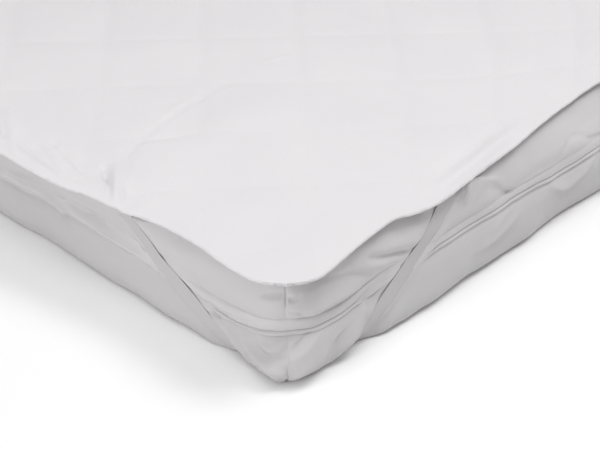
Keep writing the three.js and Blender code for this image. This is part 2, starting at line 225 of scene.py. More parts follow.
# Creases on the cloth, in plan. left and right are the widths on each side, looking along it.
cloth_creases = columns(
    "x0 y0 x1 y1 x2 y2 left right rise",
    (154, -968, 100, -933, 88, -745, 11, 4, -2.2),
    (112, -908, 90, -862, 80, -790, 6, 5, 1.7),
    (92, -990, 125, -1000, 152, -1004, 12, 10, -2.5),
    (117, -916, 132, -890, 153, -866, 6, 3, -2.2),
    (138, -976, 170, -1001, 194, -1022, 6, 3.5, 6.2),
    (130, -984, 158, -1002, 180, -1017, 4, 4, -4.2),
    (128, -985, 142, -993, 155, -1000, 3, 3, -3),
    (184, -1000, 196, -1008, 211, -1026, 17, 4, -4),
    (33, -1001, 70, -1008, 98, -1021, 3, 3.4, 3.2),
    (40, -986, 82, -997, 115, -1008, 4, 3.4, -3.4),
    (46, -984, 53, -988, 61, -992, 3, 3, 2),
    (-58, -984, -20, -1004, 20, -1032, 8, 4, 4),
    (-64, -1004, 20, -1018, 118, -1022, 26, 9, -6.5),
    (79, -668, 84, -650, 88, -628, 3, 3, 1.2),
    (446, -740, 442, -662, 421, -574, 11, 8, 6),
    (424, -738, 419, -668, 400, -588, 9, 9, -3),
)


def quilt_place(x, y):
    """Place on the quilting, in squares: the offset from a crossing of two seams, turned by
    quilt_turn and divided by the pitch. A seam runs wherever either number is whole."""
    dx, dy = x - quilt_crossing[0], y - quilt_crossing[1]
    c, s = np.cos(quilt_turn), np.sin(quilt_turn)
    return (dx * c + dy * s) / quilt_pitch, (dy * c - dx * s) / quilt_pitch


def quilt_relief(u, v):
    """Height of the wadding: 1 - exp(-distance / loft_reach) from one direction's seams, times 1
    less a share of exp(-distance / loft_reach) from the other's, less a groove, a bell curve,
    where the thread draws it in."""
    to_u = np.abs(u - np.round(u)) * quilt_pitch
    to_v = np.abs(v - np.round(v)) * quilt_pitch
    loft = 1 - loft_crossing_share * np.exp(-to_v / loft_reach)
    loft = (1 - np.exp(-to_u / loft_reach)) * loft
    groove = bell(to_u, groove_width) + bell(to_v, groove_width)
    return loft_height * loft - groove_depth * np.minimum(groove, 1)


def smoothed(x, y):
    """Share of the quilting's relief left where the cloth is drawn flat: flat_share within
    flat_reach of the near corner, rising to 1 over flat_fade."""
    away = np.hypot(x - half_width, y + half_length)
    return flat_share + (1 - flat_share) * ease((away - flat_reach) / flat_fade)


def fray(x, y):
    """A scatter from -1 to 1 with no pattern: the fraction of a large multiple of a sine."""
    return 2 * np.mod(np.sin(x * 12.9898 + y * 78.233) * 43758.5453, 1) - 1


def spaced(start, end, places, pitches):
    """Grid lines whose pitch follows a table: the running total of 1/pitch, cut in equal steps."""
    fine = np.linspace(start, end, 20001)
    rate = 1 / np.interp(fine, places, pitches)
    total = np.concatenate([[0], np.cumsum(np.diff(fine) * (rate[1:] + rate[:-1]) / 2)])
    return np.interp(np.linspace(0, total[-1], int(np.ceil(total[-1])) + 1), total, fine)


def grid_faces(rows, cols, closed=False):
    """Faces of a grid of rows by cols points, anticlockwise as its columns and rows grow. A
    closed grid joins its last column to its first."""
    across = cols if closed else cols - 1
    row, col = np.meshgrid(np.arange(rows - 1), np.arange(across), indexing="ij")
    a = row * cols + col
    b = row * cols + (col + 1) % cols
    return np.stack([a, b, b + cols, a + cols], axis=-1).reshape(-1, 4)


def make_piece(name, points, faces, uv=None):
    """A smooth mesh object from points in millimetres. faces is a list of index lists."""
    mesh = bpy.data.meshes.new(name)
    mesh.from_pydata((np.asarray(points) / 1000).tolist(), [], faces)
    mesh.polygons.foreach_set("use_smooth", np.ones(len(mesh.polygons), bool))
    if uv is not None:
        corner = np.empty(len(mesh.loops), np.int32)
        mesh.loops.foreach_get("vertex_index", corner)
        mesh.uv_layers.new(name="cloth").data.foreach_set("uv", np.asarray(uv)[corner].ravel())
    mesh.update()
    piece = bpy.data.objects.new(name, mesh)
    bpy.context.scene.collection.objects.link(piece)
    return piece


# Grid of the cloth: the lines in from the edge of each hem, and the pitch of those between, which
# is closest by the hems and where the straps pull the cloth into rucks
hem_lines = np.array([0, 0.25, 0.8, 1.6, 2.6, 4, 5.2, 6.2, 7.4, 9])
pitch_across = columns(
    "place pitch",
    (-470, 3), (-440, 7.4), (-300, 6.6), (-60, 5.2), (-20, 3.3), (200, 3.3), (240, 4.6),
    (420, 4.3), (460, 2.6),
)
pitch_along = columns(
    "place pitch",
    (-1011, 2.4), (-930, 3.1), (-880, 4.5), (-230, 4.7), (-160, 8.2), (980, 8.2), (1011, 3.4),
)


def cloth_lines(half, pitch):
    """Grid lines from hem to hem: each hem's own lines, and between them those of the pitch."""
    inner = spaced(-half + hem_lines[-1], half - hem_lines[-1], *pitch.values())
    return np.concatenate([hem_lines[:-1] - half, inner, (half - hem_lines[:-1])[::-1]])


half_x, half_y = half_width + overhang, half_length + overhang
cloth_x, cloth_y = cloth_lines(half_x, pitch_across), cloth_lines(half_y, pitch_along)


def cloth_surface(x, y):
    """Top and underside of the cloth. Both lie at the mattress's height less the sag, plus rucks
    and creases, which the underside has along its rim alone. The top adds the thickness: the
    seams' plus the quilting's, turning into the hem's. The hem closes as half an ellipse over
    hem_roll, and its edge is frayed."""
    to_hem = np.minimum(half_x - np.abs(x), half_y - np.abs(y))
    plain = ease(1 - (to_hem - hem_width) / hem_fade)
    world_x, world_y = pull_edges(*round_corner(x, y))
    base = mattress_height + rest_gap - sag_at(world_x, world_y)
    lift = ruck_at(world_x, world_y) + folds_at(world_x, world_y, cloth_creases)
    rim = ease((underside_rim - to_hem) / rim_fade)
    u, v = quilt_place(x, y)
    relief = quilt_relief(u, v) * smoothed(x, y)
    thickness = seam_thickness + relief * (1 - plain) + (hem_thickness - seam_thickness) * plain
    thickness = thickness - sewn_dip * bell(to_hem - sewn_inset, sewn_width)
    fluff = fray_out * fray(x, y) * ease(1 - to_hem / fray_reach)
    world_x = world_x + fluff * np.clip(x / half_x, -1, 1)
    world_y = world_y + fluff * np.clip(y / half_y, -1, 1)
    closing = np.sqrt(1 - (1 - np.clip(to_hem / hem_roll, 0, 1)) ** 2)
    under = base + lift * rim
    middle = under + hem_thickness / 2
    rolled = to_hem < hem_roll
    top = np.where(rolled, middle + hem_thickness / 2 * closing, base + lift + thickness)
    top = top + fray_up * fray(y, x) * ease(1 - to_hem / fray_reach)
    under = np.where(rolled, middle - hem_thickness / 2 * closing, under)
    return world_x, world_y, top, under, u, v


# The top is a full grid. The underside shares its edge, and inside its rim it is one flat fan.
grid_x, grid_y = np.meshgrid(cloth_x, cloth_y)
world_x, world_y, top, under, quilt_u, quilt_v = cloth_surface(grid_x, grid_y)
cols, rows = len(cloth_x), len(cloth_y)
top_points = np.stack([world_x, world_y, top], -1).reshape(-1, 3)
under_points = np.stack([world_x, world_y, under], -1).reshape(-1, 3)
on_edge = np.ones((rows, cols), bool)
on_edge[1:-1, 1:-1] = False
in_middle = (np.abs(grid_x) < half_x - underside_rim) & (np.abs(grid_y) < half_y - underside_rim)
kept = ~on_edge & ~in_middle
number_under = np.arange(rows * cols).reshape(rows, cols)
number_under[kept] = rows * cols + np.arange(kept.sum())
cells = grid_faces(rows, cols)
cell_in_middle = in_middle.ravel()[cells].any(axis=1)
rim_cells = number_under.ravel()[cells[~cell_in_middle]][:, ::-1]
r0, r1 = np.flatnonzero(in_middle.any(axis=1))[[0, -1]] + [-1, 1]
c0, c1 = np.flatnonzero(in_middle.any(axis=0))[[0, -1]] + [-1, 1]
hole = np.concatenate([
    number_under[r0, c0:c1], number_under[r0:r1, c1],
    number_under[r1, c1:c0:-1], number_under[r1:r0:-1, c0],
])
centre = rows * cols + kept.sum()
fan = np.stack([np.full(len(hole), centre), np.roll(hole, -1), hole], -1)
quilt_uv = np.stack([quilt_u, quilt_v], -1)
protector = make_piece(
    "quilted_protector",
    np.concatenate([top_points, under_points[kept.ravel()], [[0, 0, mattress_height + rest_gap]]]),
    cells.tolist() + rim_cells.tolist() + fan.tolist(),
    np.concatenate([quilt_uv.reshape(-1, 2), quilt_uv[kept], [[0, 0]]]),
)


class Nodes:
    """Writes a material's node tree: each call adds a node, sets its plain inputs and links the
    inputs that are given as another node's output. An input is named, or numbered as i0, i1."""

    def __init__(self, name):
        self.material = bpy.data.materials.new(name)
        self.material.use_nodes = True
        self.tree = self.material.node_tree
        self.shader = self.tree.nodes["Principled BSDF"]

    def add(self, kind, settings=None, **inputs):
        node = self.tree.nodes.new(kind)
        for key, value in (settings or {}).items():
            setattr(node, key, value)
        self.feed(node, inputs)
        return node

    def feed(self, node, inputs):
        for key, value in inputs.items():
            numbered = key[0] == "i" and key[1:].isdigit()
            socket = node.inputs[int(key[1:]) if numbered else key.replace("_", " ")]
            if isinstance(value, bpy.types.NodeSocket):
                self.tree.links.new(value, socket)
            else:
                socket.default_value = value

    def math(self, operation, a, b=0.0, c=0.0):
        return self.add("ShaderNodeMath", {"operation": operation}, i0=a, i1=b, i2=c).outputs[0]

    def place(self):
        return self.add("ShaderNodeTexCoord").outputs["Object"]

    def noise(self, scale, detail):
        node = self.add("ShaderNodeTexNoise", Scale=scale, Detail=detail, Vector=self.place())
        return node.outputs["Fac"]

    def blend(self, share, first, second):
        node = self.add("ShaderNodeMix", {"data_type": "RGBA"}, Factor=share)
        self.feed(node, {"i6": first, "i7": second})
        return node.outputs[2]

    def weave(self, pitch):
        """Threads over and under each other: the product of two sines of the given pitch in
        metres, one along X and Z together and one along Y and Z."""
        x, y, z = self.add("ShaderNodeSeparateXYZ", Vector=self.place()).outputs
        turn = 2 * np.pi / pitch
        along = self.math("SINE", self.math("MULTIPLY", self.math("ADD", x, z), turn))
        across = self.math("SINE", self.math("MULTIPLY", self.math("SUBTRACT", y, z), turn))
        return self.math("MULTIPLY", along, across)

    def bump(self, height, distance, strength, **under):
        inputs = {"Height": height, "Distance": distance, "Strength": strength, **under}
        return self.add("ShaderNodeBump", **inputs).outputs[0]

    def finish(self, **inputs):
        self.feed(self.shader, inputs)
        return self.material


stitch_thread, stitch_length, stitch_gap_share = 0.6, 3.2, 0.3


def quilted_cloth():
    """White brushed cloth: soft clouds of tone, puckers, a fine weave with a grain, and the thread
    of the seams as short stitches, read from the cloth's own quilting coordinates."""
    n = Nodes("white quilted cloth")
    quilting = n.add("ShaderNodeUVMap", {"uv_map": "cloth"}).outputs[0]
    u, v, _ = n.add("ShaderNodeSeparateXYZ", Vector=quilting).outputs
    stitches = []
    for across, along in ((u, v), (v, u)):
        away = n.math("ABSOLUTE", n.math("SUBTRACT", across, n.math("ROUND", across)))
        thread = n.math("LESS_THAN", away, stitch_thread / quilt_pitch)
        step = n.math("FRACT", n.math("MULTIPLY", along, quilt_pitch / stitch_length))
        dash = n.math("GREATER_THAN", step, stitch_gap_share)
        stitches.append(n.math("MULTIPLY", thread, dash))
    stitch = n.math("MAXIMUM", *stitches)
    colour = n.blend(n.noise(9, 3), (0.695, 0.685, 0.695, 1), (0.745, 0.735, 0.74, 1))
    colour = n.blend(n.math("MULTIPLY", stitch, 0.1), colour, (0.9, 0.89, 0.9, 1))
    soft = n.bump(n.noise(60, 2), 0.0012, 0.35)
    woven = n.bump(n.math("ADD", n.weave(0.0011), n.noise(900, 2)), 0.00012, 0.4, Normal=soft)
    sewn = n.bump(stitch, 0.0002, 0.5, Normal=woven)
    return n.finish(
        Base_Color=colour, Roughness=0.92, Sheen_Weight=0.12, Sheen_Roughness=0.5,
        Specular_IOR_Level=0.25, Normal=sewn,
    )


protector.data.materials.append(quilted_cloth())
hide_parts("protector")
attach(protector, "root")


# Elastic straps: one flat ribbed elastic for each corner, 20 mm wide, sewn by its ends under the
# hem on both sides and stretched down over the mattress side and across under its corner.

strap_width = 20.0
strap_thickness = 1.0
strap_gap = 0.3
hem_hold = 13.0
strap_under = 60.0
strap_end_margin = 5.0
# Travel at which the strap's two sides are joined under the corner
strap_starts = {"long": -30.0, "short": -40.0}
ring_pitch = 3.0

# Section of a strap from under the mattress up to the hem, and the turn at the hem
sections = {
    "long": columns(
        "inset height",
        (60, 0.8), (20, 0.8), (11, 1.2), (4, 3.4), (-1, 8), (-5, 14), (-8.5, 24), (-9.5, 38),
        (-6, 58), (-4, 80), (-4.6, 100),
    ),
    "short": columns(
        "inset height",
        (60, 0.8), (20, 0.8), (12, 1.2), (5, 3.4), (0, 8), (-4, 14), (-7.5, 24), (-8, 38),
        (-5, 58), (-5, 80), (-8, 100),
    ),
}
hem_turn = columns("inset fall", (-1.2, 6), (-1, 2), (1.6, 0), (14, 0))

# Its centre line with the side laid flat: distance from the corner, by travel from the bottom edge
strap_lines = {
    "long": columns(
        "travel along",
        (-60, 19.6), (0, 91), (11, 112.5), (37, 145), (59, 181), (85, 217), (125, 268), (150, 298),
    ),
    "short": columns(
        "travel along",
        (-60, 28.5), (0, 78), (18, 102.5), (36, 134), (55, 174), (71, 205), (90, 223), (110, 243),
        (152, 265),
    ),
}
strap_corners = [(1, -1), (1, 1), (-1, 1), (-1, -1)]


def run_length(points):
    """Distance along a line of points: the running total of the lengths of its steps."""
    return np.concatenate([[0], np.cumsum(np.linalg.norm(np.diff(points, axis=0), axis=1))])


def strap_run(corner, side, outline):
    """Points of a strap along one side of a corner. The section is a smooth curve from under the
    mattress to under the hem, read by its length. Each cross-section is a straight line across
    the tape when the side is laid flat, and outline gives its points as shares of the width and
    of the thickness."""
    sign_x, sign_y = corner

    def lay(inset, along):
        """Plan point by its distance in from this side, and along it from the corner."""
        from_long, from_short = (inset, along) if side == "long" else (along, inset)
        return sign_x * (half_width - from_long), sign_y * (half_length - from_short)

    outward = (sign_x, 0) if side == "long" else (0, sign_y)
    table, _, edge_start = next(row for row in cloth_sides if row[1] == outward)
    line, section = strap_lines[side], sections[side]
    anchor, tab_end = line["along"][-2], line["along"][-1]
    edge_place = inset_from(edge_start, *lay(0, anchor))
    hem_inset = hem_hold - float(read(table, edge_place, "out"))
    held_at = np.array([anchor - strap_width, anchor, tab_end, tab_end + strap_width])
    x, y = lay(hem_inset, held_at)
    cloth_under = mattress_height + rest_gap - sag_at(x, y) + ruck_at(x, y)
    tab_height = cloth_under.min() - strap_gap - strap_thickness
    inset = np.concatenate([section["inset"], hem_inset + hem_turn["inset"]])
    height = np.concatenate([section["height"], tab_height - hem_turn["fall"]])
    bend = {"row": np.arange(len(inset)), "inset": inset, "height": height}
    fine = np.linspace(0, len(inset) - 1, 60 * len(inset))
    fine_inset, fine_height = read(bend, fine, "inset", "row"), read(bend, fine, "height", "row")
    length = run_length(np.stack([fine_inset, fine_height], -1))
    reach = length[-1] - strap_under - strap_end_margin
    start = strap_starts[side]
    travel = np.linspace(start, reach, int(round((reach - start) / ring_pitch)) + 1)[:, None]
    here = read(line, travel, "along", "travel")
    slope = read(line, travel + 1, "along", "travel") - here
    sideways = outline[:, 0] * strap_width / np.hypot(1, slope)
    depth = outline[:, 1] * strap_thickness
    at = strap_under + travel - sideways * slope
    tangent_inset = np.interp(at, length, np.gradient(fine_inset, length))
    tangent_height = np.interp(at, length, np.gradient(fine_height, length))
    scale = np.hypot(tangent_inset, tangent_height)
    inset = np.interp(at, length, fine_inset) - tangent_height / scale * depth
    height = np.interp(at, length, fine_height) + tangent_inset / scale * depth
    x, y = lay(inset, here + sideways)
    return np.stack([x, y, height], -1)


def strap_points(corner, outline):
    """The whole strap: down the long side, under the corner, and up the short side."""
    long_side, short_side = strap_run(corner, "long", outline), strap_run(corner, "short", outline)
    return np.concatenate([long_side[::-1], short_side])


# Outline of the tape's cross-section: an oval with flat sides
turn = np.linspace(0, 2 * np.pi, 28, endpoint=False)
tape_outline = 0.5 * np.stack([
    -np.sign(np.cos(turn)) * np.abs(np.cos(turn)) ** 0.7,
    np.sign(np.sin(turn)) * np.abs(np.sin(turn)) ** 0.35,
], -1)


def strap_mesh(name, corner):
    """The strap's rings of points with both ends closed, and its length in metres."""
    points = strap_points(corner, tape_outline)
    rings, around = points.shape[:2]
    first = np.arange(around)
    faces = grid_faces(rings, around, closed=True).tolist()
    faces += [first[::-1].tolist(), (first + (rings - 1) * around).tolist()]
    travel = run_length(points.mean(axis=1))
    across = np.broadcast_to(tape_outline[:, 0] * strap_width, (rings, around))
    uv = np.stack([across, np.broadcast_to(travel[:, None], (rings, around))], -1) / 1000
    if corner[0] * corner[1] > 0:
        faces = [face[::-1] for face in faces]
    return make_piece(name, points.reshape(-1, 3), faces, uv.reshape(-1, 2)), travel[-1] / 1000


rib_pitch, weft_pitch = 0.0014, 0.0008


def elastic():
    """Ribbed elastic: cords run along the tape, crossed by a fine weft, each a sine of its pitch
    in metres, and painted shade that makes the rows between the cords slightly darker."""
    n = Nodes("grey white elastic")
    on_tape = n.add("ShaderNodeUVMap", {"uv_map": "cloth"}).outputs[0]
    across, along, _ = n.add("ShaderNodeSeparateXYZ", Vector=on_tape).outputs
    rib = n.math("SINE", n.math("MULTIPLY", across, 2 * np.pi / rib_pitch))
    weft = n.math("SINE", n.math("MULTIPLY", along, 2 * np.pi / weft_pitch))
    # Painted shade: the colour is darkest where the ribs' bump is lowest, in the grooves between
    # the cords
    painted_groove_shade = n.math("MULTIPLY_ADD", rib, 0.25, 0.5)
    colour = n.blend(painted_groove_shade, (0.51, 0.5, 0.505, 1), (0.565, 0.555, 0.56, 1))
    height = n.math("MULTIPLY_ADD", weft, 0.3, rib)
    return n.finish(
        Base_Color=colour, Roughness=0.75, Sheen_Weight=0.08, Specular_IOR_Level=0.3,
        Normal=n.bump(height, 0.00012, 0.6),
    )


elastic_finish = elastic()
for count, corner in enumerate(strap_corners, 1):
    strap, strap_length = strap_mesh(f"elastic_strap_{count}", corner)
    strap.data.materials.append(elastic_finish)
    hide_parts(f"strap_{count}")
    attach(strap, "root")


# Mattress: a foam core in a smooth sewn cover. The cover has an upper and a lower half, each
# closed at the corners by a seam, and it puffs out between its seams and dips under the straps.

wall_corner = 49.0
corner_arc = wall_corner * np.pi / 2
long_run, short_run = mattress_length - 2 * wall_corner, mattress_width - 2 * wall_corner
side_runs = [
    corner_arc / 2, long_run, corner_arc, short_run, corner_arc,
    long_run, corner_arc, short_run, corner_arc / 2,
]
wall_breaks = np.concatenate([[0], np.cumsum(side_runs)])
wall_round = wall_breaks[-1]
corner_places = [0] + [wall_breaks[turned] + corner_arc / 2 for turned in (2, 4, 6)]
corner_ways = [1, -1, 1, -1]
inside_corner = 70.0


def wall(s, inset, corner):
    """Plan point and outward direction on a rounded rectangle round the mattress. s is the
    distance from the middle of the near corner, towards the head. The point is the inner
    rectangle's point plus the corner radius times the outward direction."""
    s = np.mod(s, wall_round)
    turned = np.interp(s, wall_breaks, np.radians([-45, 0, 0, 90, 90, 180, 180, 270, 270, 315]))
    centre_x = np.interp(s, wall_breaks, [1, 1, 1, 1, -1, -1, -1, -1, 1, 1])
    centre_y = np.interp(s, wall_breaks, [-1, -1, 1, 1, 1, 1, -1, -1, -1, -1])
    out_x, out_y = np.cos(turned), np.sin(turned)
    x = centre_x * (half_width - inset - corner) + corner * out_x
    y = centre_y * (half_length - inset - corner) + corner * out_y
    return x, y, out_x, out_y


def corner_distances(s):
    """Distance along the wall from each corner, shortest way round, and from the nearest one,
    which counts up towards that corner's long side."""
    half = wall_round / 2
    away = np.stack([np.mod(s - at + half, wall_round) - half for at in corner_places])
    nearest = np.argmin(np.abs(away), axis=0)
    return away, np.take_along_axis(away, nearest[None], 0)[0] * np.take(corner_ways, nearest)


# Side of the mattress from the floor to its top: how far in it lies, and its corner radius
wall_profile = columns(
    "height inset corner",
    (0, 5, 12), (3, -1, 17), (9, -5, 21), (24, -9, 30), (42, -8, 40), (53, -3.5, 47),
    (57, 0.2, 49), (75, 0.2, 49), (79, -2, 50), (92, -4, 50), (108, -2, 49), (120, 3, 46),
    (130, 10, 41), (137, 20, 34), (140, 34, 26),
)

# Seam lines of the band along the wall by the near corner: its upper edge, and the line between
# its flat strip and the piping below it
band_wave = columns(
    "along upper lower",
    (-600, 76, 62), (-500, 76, 63), (-449, 77, 64), (-399, 84, 70), (-374, 81, 67),
    (-342, 84, 69), (-300, 86, 71), (-260, 83, 69), (-215, 79, 65), (-150, 74, 58),
    (-91, 70, 53.5), (-64, 70, 53), (-48, 72, 55), (-20, 76, 60), (0, 77.5, 61.5), (14, 78, 62),
    (33, 76, 60.5), (57, 72, 59), (92, 72, 58.5), (117, 77, 63), (140, 83, 68),
    (164, 86.5, 69.5), (200, 85, 69), (245, 84, 71), (301, 86, 71), (348, 88, 72), (385, 88, 74),
    (425, 87, 73), (459, 87, 71), (500, 90, 72), (540, 92, 75), (600, 88, 73), (760, 76, 62),
    (900, 76, 62),
)
band_upper, band_lower, band_middle = 76.0, 62.0, 66.0
wave_reach, wave_fade = 300.0, 90.0
wave_pull = 45.0
piping_width = 6.5

# How much of the band stands free of the cloth above it, along the wall by the near corner
band_show = columns(
    "along share",
    (-700, 1), (-560, 0), (-300, 0), (-225, 0.2), (-190, 1.3), (-70, 1.4), (-20, 1),
)

# Extra swell of the lower half over its bottom edge, along the wall by the near corner
skirt = columns(
    "along out",
    (-640, 0), (-560, -3), (-503, -0.5), (-455, 0), (-420, -3), (-384, -2), (-338, 0), (-294, 2),
    (-250, 0), (-207, 3.5), (-165, 2), (-145, 2.7), (-128, 5), (-104, -0.5), (-85, 2), (-65, 4),
    (-46, 4.6), (-26, 5.5), (-9, 1.2), (5, -0.4), (22, 1.4), (41, 2.7), (61, 5.5), (81, 5.5),
    (101, 11), (121, 17), (142, 15), (162, 11), (183, 10), (205, 11.4), (226, 10), (248, 10.6),
    (270, 8.7), (292, 6.3), (315, 3.6), (338, 4.5), (384, 3.8), (431, 3.5), (455, 0),
    (504, -4.5), (560, -2.5), (640, 0),
)
skirt_reach, skirt_fade = 420.0, 120.0
swell_height, swell_above, swell_loss = 12.0, 27.0, 0.2

# Folds of the cover by a corner: distance from it along the wall, and height
fold_reach, fold_fade = 230.0, 40.0
cover_folds = columns(
    "s0 z0 s1 z1 s2 z2 left right rise",
    (1, 107, 6, 103, 14, 108, 2.4, 2.2, -3.6),
    (2, 113, 9, 114, 22, 119, 6, 5, 3),
    (46, 114, 84, 108, 119, 91, 6, 3, -3.8),
    (16, 83, 56, 87, 104, 81, 12, 6, 7),
    (14, 116, 56, 120, 96, 117, 8, 5, -3),
    (100, 107, 140, 96, 182, 84, 6, 6, 2.6),
    (119, 110, 150, 98, 194, 89, 5, 3, -5.2),
    (122, 120, 160, 110, 205, 98, 8, 6, 3),
    (3, 89, 11, 87, 22, 85, 1.8, 1.8, -2.6),
    (10, 77, 18, 79, 27, 77, 2.4, 2.4, -2.2),
    (7, 46, 14, 51, 25, 56, 2.4, 2.4, -3.4),
    (3, 38, 12, 44, 36, 53, 2.4, 8, 4.2),
    (0, 16, 32, 23, 62, 33, 26, 9, 11),
    (4, 27, 9, 23, 17, 22, 2, 2, -1.6),
    (116, 58, 134, 50, 156, 54, 8, 7, -4.2),
    (103, 59, 111, 50, 140, 38, 2.5, 5, 2.6),
    (296, 95, 335, 119, 376, 84, 3, 3, -2.8),
    (352, 93, 366, 89, 384, 84, 3, 3, -3),
    (470, 90, 503, 122, 536, 93, 3, 3, -1.7),
    (530, 96, 544, 92, 562, 91, 3, 3, -2.4),
    (384, 92, 425, 95, 472, 92, 9, 4, -2),
    (320, 36, 356, 38, 390, 49, 9, 3.5, 5),
    (338, 49, 362, 58, 382, 65, 3, 4, 1.8),
    (457, 61, 495, 30, 541, 61, 8, 3.5, 5),
    (-32, 105, -17, 109, -3, 113, 2.4, 2.4, -2.6),
    (-28, 101, -14, 104, -3, 106, 3, 5, 2),
    (-100, 53, -45, 52, -4, 58, 4, 4, 4.4),
    (-60, 34, -40, 25, -4, 21, 3.4, 7, 8),
    (-50, 38, -26, 31, -4, 36, 4, 4, -5),
    (-84, 42, -80, 28, -66, 10, 4, 4, -4.2),
    (-36, 45, -18, 43, -4, 49, 4, 3.4, 5),
    (-170, 66, -118, 48, -62, 38, 8, 8, -5),
    (-182, 76, -128, 64, -60, 60, 7, 4, 6),
    (-192, 90, -176, 89, -172, 78, 3, 3, 2.6),
    (-530, 64, -440, 76, -388, 70, 10, 5, 10),
    (-400, 72, -380, 70, -366, 50, 7, 4, 5),
    (-366, 72, -296, 72, -222, 60, 9, 5, 10),
    (-376, 79, -322, 91, -286, 78, 5, 3, -2.2),
    (-472, 83, -425, 93, -384, 85, 5, 3, -2),
    (-478, 28, -468, 24, -456, 13, 3, 4, 2.4),
    (-366, 84, -374, 76, -362, 60, 3, 5, -2.4),
)

# Places beside a strap where the cloth stays off it: distance from the corner, height, and how
# far it lets go of the strap there
pockets = columns(
    "along height size_along size_height open",
    (234, 124, 9, 7, 0.55), (192, 93, 6, 4, 0.8), (174, 76, 4, 3, 0.6), (146, 53, 13, 9, 0.4),
    (-245, 113, 9, 8, 0.4), (-190, 82, 9, 6, 0.8), (-206, 89, 8, 5, 0.45), (-118, 43, 3, 3, 0.5),
)

# The corner seam: a groove in a shallow dip, with the long side's cloth a step proud beside it.
# It is shifted one way above the band and the other way below.
seam_shift, seam_clear = 1.5, 15.0
groove_reach, dip_depth, dip_reach = 1.2, 1.2, 7.0
step_height, step_reach, step_rise = 0.9, 14.0, 1.5

# In the bottom edge by a corner, the corner seam's cleft, and the notches
cleft_place, cleft_width, cleft_depth, cleft_top = -4.0, 2.2, 3.5, 15.0
notches = columns("along width rise", (-66, 7, 3), (92, 8, 2.5), (-4, 3, 0.8))

# How much the cover leans in where the long side's hem lies short of the mattress's edge, and how
# much shorter half a corner's arc is than its square
lean_share, corner_cut = 0.7, 10.5

# The cover by a strap: pressed under the tape, carried along beside it, calmed of its folds, and
# capped under the tape itself
press_depth, press_rise, press_flat, press_fade = 1.2, 2.0, 8.2, 4.6
carry_flat, carry_fade, carry_slant = 14.0, 18.0, 1.6
carry_gap, carry_gap_fade, carry_depth = 24.0, 16.0, 45.0
calm_share, calm_flat, calm_fade, calm_depth = 0.85, 11.0, 10.0, 30.0
cap_depth, cap_flat, cap_soft = 0.95, 8.8, 0.3
hug_margin = 80.0


def billow(s, z):
    """Slow unevenness of the filled cover: six sine waves of fixed length, direction and shift."""
    waves = columns(
        "length_s length_z shift size",
        (310, 160, 0.4, 0.7), (171, 95, 2.1, 0.55), (97, 70, 4.0, 0.4), (61, 140, 1.3, 0.25),
        (143, -60, 5.2, 0.35), (47, -80, 3.3, 0.2),
    )
    total = 0
    for length_s, length_z, shift, size in zip(*waves.values()):
        total = total + size * np.sin(2 * np.pi * (s / length_s + z / length_z) + shift)
    return total


def at_corners(s, shape, reach, fade, share=0.6):
    """A shape along the wall: whole by the near corner, and by each other one laid towards its
    long side, times share, and times an ease that ends at reach."""
    away, _ = corner_distances(s)
    total = shape(away[0])
    for way, distance in zip(corner_ways[1:], away[1:]):
        t = distance * way
        total = total + share * shape(t) * ease((reach - np.abs(t)) / fade)
    return total


def band_lines(s):
    """Heights of the band's upper edge and of its piping's seam: a level plus the band's wave."""
    lines = []
    for column, level in (("upper", band_upper), ("lower", band_lower)):
        wave = lambda t: read(band_wave, t, column) - level
        lines.append(level + at_corners(s, wave, wave_reach, wave_fade))
    return lines


def cover_push(s, z):
    """How far the cover stands out from its profile: billows that fade out at the floor and the
    top, plus the folds, less the corner seam. The seam is a bell curve for its groove, deepest
    near the top, plus a wide one for its dip, less an exponential for its step, and it stops at
    the band."""
    push = billow(s, z) * ease((z - 2) / 12) * ease((136 - z) / 12)
    folds = lambda t: folds_at(t, z, cover_folds)
    push = push + at_corners(s, folds, fold_reach, fold_fade, share=1)
    to_seam = corner_distances(s)[1] - np.where(z > band_middle, -seam_shift, seam_shift)
    deep = 0.5 + 1.5 * ease((z - 92) / 8) + 0.5 * ease((16 - z) / 14)
    clear = 1 - np.exp(-(((z - band_middle) / seam_clear) ** 4))
    seam = deep * bell(to_seam, groove_reach) + dip_depth * bell(to_seam, dip_reach)
    step = step_height * np.where(to_seam > 0, np.exp(-to_seam / step_reach), 0)
    return push - (seam - step * ease(to_seam / step_rise)) * clear


def bottom_swell(s, height, inset):
    """The lower half's swell: the skirt table times a bell curve of the height over swell_height,
    or below that, 1 less a share of the square of the way down. It fades out underneath."""
    out = at_corners(s, lambda t: read(skirt, t, "out"), skirt_reach, skirt_fade)
    rise = height - swell_height
    below = 1 - swell_loss * (rise / swell_height) ** 2
    return out * np.where(rise > 0, bell(rise, swell_above), below) * ease((75 - inset) / 60)


def unit(rows):
    """Each row divided by its length."""
    return rows / np.linalg.norm(rows, axis=1)[:, None]


def tape_frame(corner):
    """A strap's middle line, and along it the unit directions across the tape and outwards, which
    is the cross product of the ways across and along, turned away from the mattress."""
    line = strap_points(corner, np.array([[-0.5, 0], [0, 0], [0.5, 0]]))
    middle, across = line[:, 1], unit(line[:, 2] - line[:, 0])
    normal = unit(np.cross(across, np.gradient(middle, axis=0)))
    inside = np.array([half_width, half_length, mattress_height]) - inside_corner
    outward = middle - inside * [*corner, 1]
    return middle, across, normal * np.sign((normal * outward).sum(axis=1))[:, None]


tape = [tape_frame(corner) for corner in strap_corners]


